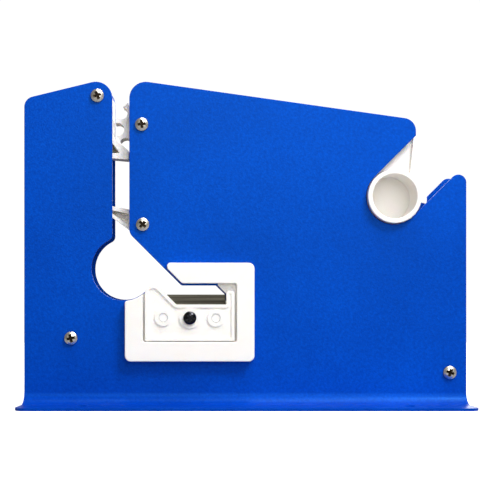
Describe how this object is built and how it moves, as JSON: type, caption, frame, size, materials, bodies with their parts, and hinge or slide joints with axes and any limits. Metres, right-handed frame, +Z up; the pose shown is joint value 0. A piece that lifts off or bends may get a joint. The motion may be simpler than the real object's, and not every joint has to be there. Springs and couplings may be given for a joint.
{
  "type": "bag neck tape sealer",
  "caption": "Bench-top bag neck tape sealer: two bent steel side plates with a bag channel, star wheel, sprung arms, tape hub in a slanted notch and a bag trimming cutter.",
  "frame": {"origin": "on the bench, under the middle of the foot", "axes": "+Z up, +X to the operator's right along the plates, -Y towards the operator"},
  "size_m": [0.1914, 0.063, 0.138],
  "materials": {
    "blue_enamel": "fine-textured powder coat, satin",
    "white_moulding": "moulded, satin",
    "white_hub": "moulded, smooth",
    "nickel": "nickel plated",
    "black_screw": "black oxide",
    "blade_steel": "ground and oiled",
    "zinc": "zinc plated",
    "spring_steel": "drawn wire"
  },
  "bodies": {
    "housing": {"front_plate": "blue_enamel", "rear_plate": "blue_enamel", "arm_post": "zinc", "star_wheel_post": "zinc", "lever_post": "zinc", "lower_left_spacer": "zinc", "lower_right_spacer": "zinc", "front_screws": "nickel", "rear_screws": "nickel", "pivot_sleeves": "white_moulding", "arm_spring": "spring_steel", "lever_spring": "spring_steel", "knife_bracket": "white_moulding", "tape_knife": "blade_steel", "knife_rivets": "zinc", "cutter_frame": "white_moulding", "blade_carrier": "white_moulding", "trim_blade": "blade_steel", "carrier_screw": "black_screw", "carrier_nut": "zinc", "brake_stud": "zinc", "brake_clip": "spring_steel", "brake_spring": "spring_steel"},
    "wheel": {"star_wheel": "white_moulding"},
    "presser": {"presser_arm": "white_moulding"},
    "gate": {"gate_lever": "white_moulding"},
    "hub": {"hub_axle": "white_hub", "axle_ring": "spring_steel"},
    "drum": {"tape_drum": "white_hub"},
    "brake": {"brake_arm": "white_moulding"}
  },
  "joints": [
    {"name": "star_wheel_spin", "type": "hinge", "parent": "housing", "child": "wheel", "pos_m": [-0.0439, -0.001, 0.1198], "axis": [0, -1, 0], "continuous": true},
    {"name": "presser_arm_swing", "type": "hinge", "parent": "housing", "child": "presser", "pos_m": [-0.0627, -0.001, 0.132], "axis": [0, 1, 0], "range_deg": [0, 18], "stiffness_Nm_per_rad": 0.02, "springref_deg": -28.65, "deforming": ["arm_spring"]},
    {"name": "gate_lever_swing", "type": "hinge", "parent": "housing", "child": "gate", "pos_m": [-0.0435, -0.001, 0.0774], "axis": [0, -1, 0], "range_deg": [0, 80], "stiffness_Nm_per_rad": 0.01, "springref_deg": -28.65, "deforming": ["lever_spring"]},
    {"name": "hub_lift", "type": "slide", "parent": "housing", "child": "hub", "axis": [0.7071, 0, 0.7071], "range_m": [0, 0.04]},
    {"name": "drum_spin", "type": "hinge", "parent": "hub", "child": "drum", "pos_m": [0.063, -0.001, 0.0892], "axis": [0, -1, 0], "continuous": true},
    {"name": "brake_arm_lift", "type": "hinge", "parent": "housing", "child": "brake", "pos_m": [0.028, -0.001, 0.116], "axis": [0, -1, 0], "range_deg": [0, 60], "deforming": ["brake_spring"]}
  ],
  "couplings": [
    {"joint": "brake_arm_lift", "follows": "hub_lift", "rad_per_m": 25.5}
  ]
}
